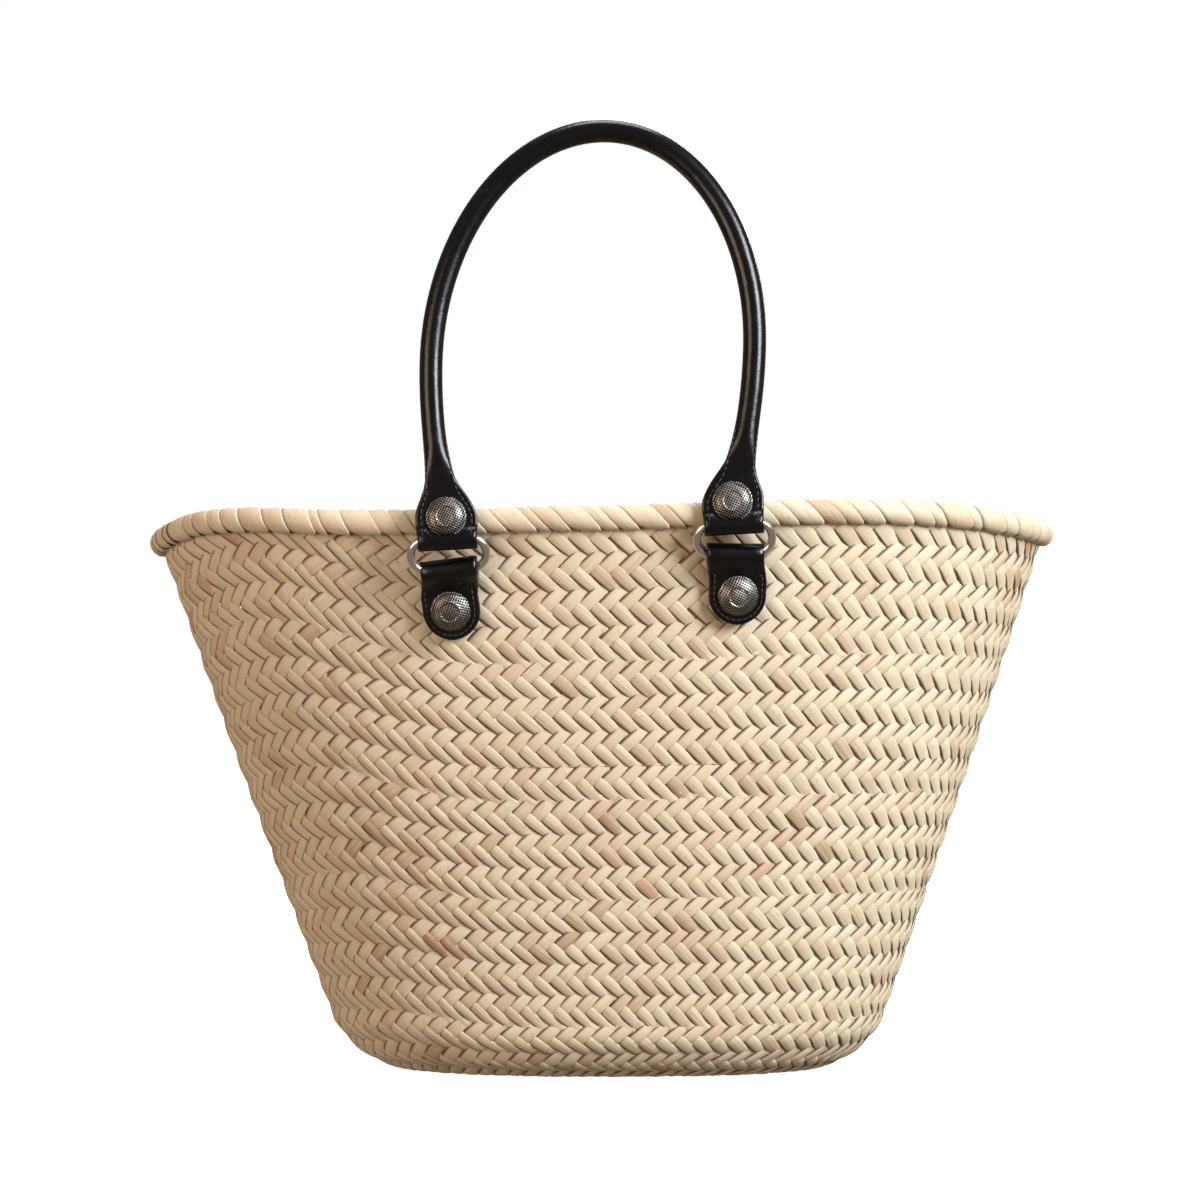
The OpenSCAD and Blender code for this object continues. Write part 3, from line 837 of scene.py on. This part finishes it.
def make_stud(name, place, face, body, end):
    """Domed cap turned from a profile: a centre disc, a groove around it and a rolled edge."""
    b = 2 * math.pi * np.arange(STUD_SIDES) / STUD_SIDES
    rings = []
    uvs = []
    # The flat cap at the first ring closes the centre.
    for radius, height in STUD_PROFILE:
        x = radius * np.cos(b)
        z = radius * np.sin(b)
        rings.append(np.stack([x, np.full_like(x, -face - height), z], -1))
        uvs.append(np.stack([x, z], -1))
    grid = np.array(rings)[None]
    points, faces = many_tubes(grid)
    piece = new_object(f"{name}_cap", apply(place, points), [f[:, ::-1] for f in faces], body,
                       uvs=np.array(uvs).reshape(-1, 2), flip=end == BACK)
    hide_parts(name)
    return piece


RING_BEND = 8.6
RING_HALF = 19.5
WIRE_R = 2.2
RING_SIDES = 16
RING_STEPS = 13                  # stations in each quarter of a ring


def make_ring(end, side):
    """Oval ring of round wire: two short bars joined by almost half-round ends."""
    name = f"{END_NAMES[end]}_{SIDE_NAMES[side]}_ring"
    place = ring_frame(end) @ move(side * FOOT_HALF, 0, BAR_GAP / 2)
    flat = BAR_GAP / 2 - RING_BEND
    bar = RING_HALF - RING_BEND
    centres = []
    for x, z, start in ((bar, flat, 0), (-bar, flat, 90), (-bar, -flat, 180), (bar, -flat, 270)):
        for t in np.radians(np.linspace(start, start + 90, RING_STEPS)):
            centres.append((x, z, t))
    b = 2 * math.pi * np.arange(RING_SIDES) / RING_SIDES
    rings = []
    for x, z, t in centres:
        out = RING_BEND + WIRE_R * np.cos(b)
        rings.append(np.stack([x + out * math.cos(t), WIRE_R * np.sin(b), z + out * math.sin(t)], -1))
    points = np.array(rings).reshape(-1, 3)
    faces = [tube_faces(len(rings), RING_SIDES, closed=True)]
    piece = new_object(f"{name}_wire", apply(place, points), faces, name, flip=end == FRONT)
    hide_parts(name)
    return piece


def make_studs():
    caps = []
    for end in (FRONT, BACK):
        for side in (LEFT, RIGHT):
            name = f"{END_NAMES[end]}_{SIDE_NAMES[side]}"
            caps.append(make_stud(f"{name}_tab_stud", tab_frame(end, side), SEAT_GAP + 2 * LEATHER_T,
                                  "basket", end))
            place = handle_frame(end) @ move(side * FOOT_HALF, 0, STUD_RISE)
            caps.append(make_stud(f"{name}_handle_stud", place, LEATHER_T, f"{END_NAMES[end]}_handle", end))
    return caps


# ---- materials ----


BLACK = (0, 0, 0)
WHITE = (1, 1, 1)


class Nodes:
    """A material's node tree, with short calls that add and link nodes."""

    def __init__(self, name):
        self.material = bpy.data.materials.new(name)
        self.material.use_nodes = True
        self.tree = self.material.node_tree
        self.shader = self.tree.nodes["Principled BSDF"]

    def add(self, kind, inputs=None, **settings):
        node = self.tree.nodes.new(kind)
        for key, value in settings.items():
            setattr(node, key, value)
        for key, value in (inputs or {}).items():
            self.set(node.inputs[key], value)
        return node

    def set(self, socket, value):
        if isinstance(value, bpy.types.NodeSocket):
            self.tree.links.new(value, socket)
        else:
            socket.default_value = value

    def math(self, operation, a, b=0.0, clamp=False):
        node = self.add("ShaderNodeMath", {0: a, 1: b}, operation=operation, use_clamp=clamp)
        return node.outputs[0]

    def mix(self, share, a, b, blend="MIX"):
        node = self.add("ShaderNodeMix", data_type="RGBA", blend_type=blend)
        self.set(node.inputs["Factor"], share)
        self.set(node.inputs["A"], a)
        self.set(node.inputs["B"], b)
        return node.outputs["Result"]

    def ramp(self, value, stops):
        node = self.add("ShaderNodeValToRGB", {"Fac": value})
        ramp = node.color_ramp
        while len(ramp.elements) < len(stops):
            ramp.elements.new(0.5)
        for element, (position, color) in zip(ramp.elements, stops):
            element.position = position
            element.color = (*color, 1) if len(color) == 3 else color
        return node.outputs["Color"]

    def bump(self, height, strength, distance, normal=None):
        node = self.add("ShaderNodeBump", {"Height": height, "Strength": strength, "Distance": distance})
        if normal is not None:
            self.set(node.inputs["Normal"], normal)
        return node.outputs["Normal"]

    def noise(self, place, scale, detail, **inputs):
        settings = {"Vector": place.outputs["Object"], "Scale": scale, "Detail": detail}
        settings.update(inputs)
        return self.add("ShaderNodeTexNoise", settings)

    def range(self, value, low, high):
        node = self.add("ShaderNodeMapRange", {"Value": value, "To Min": low, "To Max": high})
        return node.outputs[0]


def streaks(nodes, across, along, detail=3.0, offset=0.0):
    """Noise stretched along the leaf, from the piece's UV map in millimetres."""
    uv = nodes.add("ShaderNodeUVMap", uv_map="along")
    scale = nodes.add("ShaderNodeMapping", {"Vector": uv.outputs[0], "Scale": (across, along, 1),
                                            "Location": (offset, offset, 0)})
    noise = nodes.add("ShaderNodeTexNoise", {"Vector": scale.outputs[0], "Scale": 1.0, "Detail": detail,
                                             "Roughness": 0.6})
    return noise.outputs["Fac"]


# Base colours of the palm leaves, from the darkest straw over the pale one to reddish brown
PALM_TONES = [
    (0.00, (0.42, 0.29, 0.16)),
    (0.14, (0.56, 0.43, 0.28)),
    (0.34, (0.64, 0.53, 0.37)),
    (0.60, (0.68, 0.58, 0.42)),
    (0.80, (0.62, 0.54, 0.36)),
    (0.90, (0.61, 0.45, 0.32)),
    (0.965, (0.55, 0.36, 0.23)),
    (1.00, (0.44, 0.24, 0.13)),
]


STRIP_SHARE = 0.62               # part of a float's tone that its whole strip shares
FLOAT_SHARE = 0.38
SHADE_BORDER_SLOPE = -5.7              # strength of the painted shade on the sunk edge, falling off across the leaf
SHADE_BORDER_START = 1.50
SHADE_BORDER_POWER = 1.6
SHADE_BORDER_DARKNESS = 0.92
# colour of the painted shade in the crevice beside each leaf's sunk edge
CREVICE_SHADE_BROWN = (0.08, 0.04, 0.018, 1)


def palm_material(name, tones, fibre=1.0):
    """Palm leaf: a tone for each strip and float, streaks along it, painted shade on the sunk edge and
    specks.
    """
    nodes = Nodes(name)
    leaf = nodes.add("ShaderNodeVertexColor", layer_name="leaf")
    parts = nodes.add("ShaderNodeSeparateColor", {"Color": leaf.outputs["Color"]})
    place = nodes.add("ShaderNodeTexCoord")
    patches = nodes.noise(place, 9.0, 2.0)
    strip = nodes.math("MULTIPLY", parts.outputs["Red"], STRIP_SHARE)
    float_part = nodes.math("MULTIPLY", parts.outputs["Green"], FLOAT_SHARE)
    tone = nodes.math("ADD", strip, float_part)
    shift = nodes.range(patches.outputs["Fac"], -0.22, 0.22)
    tone = nodes.math("ADD", tone, shift, clamp=True)
    color = nodes.ramp(tone, tones)

    fine = streaks(nodes, 2.6, 0.035)
    broad = streaks(nodes, 0.75, 0.02, 2.0, 5.0)
    color = nodes.mix(nodes.range(fine, 0.0, 0.5), color, (0.80, 0.735, 0.61, 1), "MULTIPLY")
    lighter = nodes.math("MULTIPLY", nodes.range(broad, -0.5, 1.2), 0.55, clamp=True)
    color = nodes.mix(lighter, color, (0.76, 0.69, 0.54, 1))
    # Painted shade: the edge that dips under the next leaf is darkened to a thin brown crevice line,
    # standing in for the shade beneath the neighbouring leaf.
    away = nodes.math("MULTIPLY", parts.outputs["Blue"], SHADE_BORDER_SLOPE)
    sunk = nodes.math("ADD", away, SHADE_BORDER_START, clamp=True)
    crevice_shade = nodes.math("MULTIPLY", nodes.math("POWER", sunk, SHADE_BORDER_POWER), SHADE_BORDER_DARKNESS)
    color = nodes.mix(crevice_shade, color, CREVICE_SHADE_BROWN)
    specks = nodes.noise(place, 260.0, 2.0)
    spots = nodes.ramp(specks.outputs["Fac"], [(0.0, WHITE), (0.30, WHITE), (0.36, BLACK), (1, BLACK)])
    color = nodes.mix(nodes.math("MULTIPLY", spots, 0.22), color, (0.36, 0.22, 0.11, 1))
    nodes.set(nodes.shader.inputs["Base Color"], color)
    nodes.set(nodes.shader.inputs["Roughness"], nodes.range(fine, 0.40, 0.66))
    nodes.shader.inputs["Specular IOR Level"].default_value = 0.42
    normal = nodes.bump(broad, 0.55 * fibre, 0.0006)
    normal = nodes.bump(fine, 0.38 * fibre, 0.0003, normal)
    nodes.set(nodes.shader.inputs["Normal"], normal)
    return nodes.material


def cord_material(name, color, dark):
    """Twisted fibre for the cords that show only through gaps in the plait."""
    nodes = Nodes(name)
    place = nodes.add("ShaderNodeTexCoord")
    twist = nodes.add("ShaderNodeTexWave", {"Vector": place.outputs["Object"], "Scale": 160.0,
                                            "Distortion": 3.0, "Detail": 2.0}, bands_direction="DIAGONAL")
    nodes.set(nodes.shader.inputs["Base Color"], nodes.mix(twist.outputs["Fac"], color, dark))
    nodes.shader.inputs["Roughness"].default_value = 0.8
    nodes.set(nodes.shader.inputs["Normal"], nodes.bump(twist.outputs["Fac"], 0.6, 0.0006))
    return nodes.material


LEATHER_BLACK = (0.0016, 0.0017, 0.0022, 1)
LEATHER_SCUFFED = (0.008, 0.0078, 0.008, 1)


def leather_material(name):
    """Glossy black leather with soft creases, a fine grain and a few scuffs."""
    nodes = Nodes(name)
    place = nodes.add("ShaderNodeTexCoord")
    grain = nodes.add("ShaderNodeTexVoronoi", {"Vector": place.outputs["Object"], "Scale": 900.0},
                      feature="SMOOTH_F1")
    soft = nodes.noise(place, 55.0, 4.0)
    wrinkle = nodes.noise(place, 170.0, 3.0, Distortion=0.6)
    scuff = nodes.ramp(wrinkle.outputs["Fac"], [(0.0, BLACK), (0.60, BLACK), (0.72, WHITE), (1, WHITE)])
    color = nodes.mix(nodes.math("MULTIPLY", scuff, 0.5), LEATHER_BLACK, LEATHER_SCUFFED)
    nodes.set(nodes.shader.inputs["Base Color"], color)
    nodes.set(nodes.shader.inputs["Roughness"], nodes.range(soft.outputs["Fac"], 0.14, 0.38))
    nodes.shader.inputs["Specular IOR Level"].default_value = 0.36
    normal = nodes.bump(soft.outputs["Fac"], 0.35, 0.0012)
    normal = nodes.bump(wrinkle.outputs["Fac"], 0.22, 0.0006, normal)
    normal = nodes.bump(grain.outputs["Distance"], 0.10, 0.0003, normal)
    nodes.set(nodes.shader.inputs["Normal"], normal)
    return nodes.material


def thread_material(name):
    nodes = Nodes(name)
    place = nodes.add("ShaderNodeTexCoord")
    twist = nodes.noise(place, 900.0, 2.0)
    color = nodes.mix(twist.outputs["Fac"], (0.010, 0.010, 0.011, 1), (0.055, 0.052, 0.05, 1))
    nodes.set(nodes.shader.inputs["Base Color"], color)
    nodes.shader.inputs["Roughness"].default_value = 0.38
    nodes.set(nodes.shader.inputs["Normal"], nodes.bump(twist.outputs["Fac"], 0.4, 0.0003))
    return nodes.material


MESH_PITCH = 1.25
MESH_TURN = 27                   # degrees


def stud_material(name):
    """Dark nickel pressed with a fine crossed mesh of bright wires over holes painted near black as shade.
    """
    nodes = Nodes(name)
    uv = nodes.add("ShaderNodeUVMap", uv_map="along")
    turned = nodes.add("ShaderNodeMapping", {"Vector": uv.outputs[0],
                                             "Rotation": (0, 0, math.radians(MESH_TURN))})
    parts = nodes.add("ShaderNodeSeparateXYZ", {"Vector": turned.outputs[0]})
    pitch = 2 * math.pi / MESH_PITCH
    waves = []
    for axis in ("X", "Y"):
        wave = nodes.math("SINE", nodes.math("MULTIPLY", parts.outputs[axis], pitch))
        waves.append(nodes.math("MULTIPLY", nodes.math("ADD", wave, 1.0), 0.5))
    mesh = nodes.math("MAXIMUM", waves[0], waves[1])
    wires = nodes.ramp(mesh, [(0.0, BLACK), (0.86, (0.02, 0.02, 0.02)), (0.97, WHITE), (1, WHITE)])
    place = nodes.add("ShaderNodeTexCoord")
    wear = nodes.noise(place, 140.0, 3.0)
    wire_color = nodes.mix(wear.outputs["Fac"], (0.30, 0.285, 0.26, 1), (0.62, 0.59, 0.53, 1))
    # Painted shade: the holes between the wires are painted near black, standing in for the shade in the
    # mesh's recesses.
    color = nodes.mix(wires, (0.010, 0.010, 0.011, 1), wire_color)
    nodes.set(nodes.shader.inputs["Base Color"], color)
    nodes.shader.inputs["Metallic"].default_value = 1.0
    nodes.set(nodes.shader.inputs["Roughness"], nodes.range(wear.outputs["Fac"], 0.26, 0.42))
    nodes.set(nodes.shader.inputs["Normal"], nodes.bump(wires, 0.35, 0.0003))
    return nodes.material


def metal_material(name, color, dull, rough):
    nodes = Nodes(name)
    place = nodes.add("ShaderNodeTexCoord")
    wear = nodes.noise(place, 90.0, 4.0)
    scratch = nodes.noise(place, 600.0, 3.0, Distortion=1.5)
    nodes.set(nodes.shader.inputs["Base Color"], nodes.mix(wear.outputs["Fac"], color, dull))
    nodes.shader.inputs["Metallic"].default_value = 1.0
    nodes.set(nodes.shader.inputs["Roughness"], nodes.range(wear.outputs["Fac"], rough, rough + 0.16))
    nodes.set(nodes.shader.inputs["Normal"], nodes.bump(scratch.outputs["Fac"], 0.06, 0.0003))
    return nodes.material


def paint(pieces, material):
    for piece in pieces:
        piece.data.materials.clear()
        piece.data.materials.append(material)


def paint_node(name, material):
    """Gives a CAD node that stays its finish, by its material slots."""
    piece = frame["nodes"][name]
    if not piece.material_slots:
        piece.data.materials.append(material)
    for slot in piece.material_slots:
        slot.material = material


# ---- stage ----


FLOOR_HALF = 12.0
FLOOR_DROP = 0.0004              # keeps the floor clear of the basket's underside


def make_floor():
    corners = [(-1, -1), (1, -1), (1, 1), (-1, 1)]
    mesh = bpy.data.meshes.new("floor")
    mesh.from_pydata([(x * FLOOR_HALF, y * FLOOR_HALF, 0) for x, y in corners], [], [(0, 1, 2, 3)])
    floor = bpy.data.objects.new("floor", mesh)
    floor.location.z = -FLOOR_DROP
    bpy.context.scene.collection.objects.link(floor)
    # The floor lights and reflects nothing, so the shading stays as soft and dim below as above.
    floor.visible_diffuse = False
    floor.visible_glossy = False
    nodes = Nodes("floor_white")
    nodes.shader.inputs["Base Color"].default_value = (0.80, 0.80, 0.80, 1)
    nodes.shader.inputs["Roughness"].default_value = 0.9
    nodes.shader.inputs["Specular IOR Level"].default_value = 0.1
    nodes.shader.inputs["Emission Color"].default_value = (1, 1, 1, 1)
    nodes.shader.inputs["Emission Strength"].default_value = 1.0
    floor.data.materials.append(nodes.material)


def make_world():
    world = bpy.data.worlds.new("studio")
    bpy.context.scene.world = world
    world.use_nodes = True
    tree = world.node_tree
    back = tree.nodes["Background"]
    ray = tree.nodes.new("ShaderNodeLightPath")
    color = tree.nodes.new("ShaderNodeMix")
    color.data_type = "RGBA"
    color.inputs["A"].default_value = (0.25, 0.20, 0.165, 1)
    color.inputs["B"].default_value = (1.0, 1.0, 1.0, 1)
    tree.links.new(ray.outputs["Is Camera Ray"], color.inputs["Factor"])
    tree.links.new(color.outputs["Result"], back.inputs["Color"])


def softbox(name, place, aim, size, power, color):
    data = bpy.data.lights.new(name, "AREA")
    data.shape = "RECTANGLE"
    data.size, data.size_y = size
    data.energy = power
    data.color = color
    light = bpy.data.objects.new(name, data)
    bpy.context.scene.collection.objects.link(light)
    light.location = place
    towards = np.array(aim) - np.array(place)
    flat = math.hypot(towards[0], towards[1])
    light.rotation_euler = (math.atan2(flat, -towards[2]), 0, math.atan2(-towards[0], towards[1]))


def make_lights():
    softbox("key", (2.0, -1.5, 1.35), (0, 0, 0.13), (1.2, 1.3), 118, (0.97, 1.0, 1.06))
    softbox("fill", (-1.7, -1.6, 0.55), (0, 0, 0.15), (1.2, 1.4), 28, (1.0, 0.78, 0.62))
    softbox("top", (0.1, 0.3, 2.2), (0, 0, 0.2), (1.0, 1.0), 22, (1.0, 1.0, 1.0))
    softbox("back", (0.6, 2.0, 1.3), (0, 0, 0.2), (1.4, 1.0), 46, (1.0, 0.99, 0.97))


# ---- the scene ----

make_camera()
plaits = make_basket()
rim = make_rim()
leathers = []
threads = []
for end in (FRONT, BACK):
    covers, sewn = make_handle(end)
    leathers += covers
    threads += sewn
    for side in (LEFT, RIGHT):
        leather, sewn = make_tab(end, side)
        leathers.append(leather)
        threads.append(sewn)
caps = make_studs()
rings = [make_ring(end, side) for end in (FRONT, BACK) for side in (LEFT, RIGHT)]

palm = palm_material("palm_leaf", PALM_TONES)
paint(plaits, palm)
paint([rim], palm_material("palm_wrap", PALM_TONES, fibre=0.8))
paint(leathers, leather_material("black_leather_glossy"))
paint(threads, thread_material("black_thread"))
paint(caps, stud_material("stud_nickel_mesh"))
palm_fibre = cord_material("palm_fibre", (0.52, 0.40, 0.24, 1), (0.26, 0.18, 0.10, 1))
cotton = cord_material("cotton_fibre", (0.66, 0.60, 0.50, 1), (0.40, 0.35, 0.28, 1))
polished = metal_material("polished_nickel", (0.83, 0.80, 0.75, 1), (0.62, 0.58, 0.52, 1), 0.12)
for node in frame["nodes"]:
    if node in ("lacing_cord", "rim_core"):
        paint_node(node, palm_fibre)
    elif node.endswith("handle_core"):
        paint_node(node, cotton)
    elif node.endswith("rivet_back"):
        paint_node(node, polished)
paint(rings, polished)

make_floor()
make_world()
make_lights()
bpy.context.scene.view_settings.view_transform = "Standard"
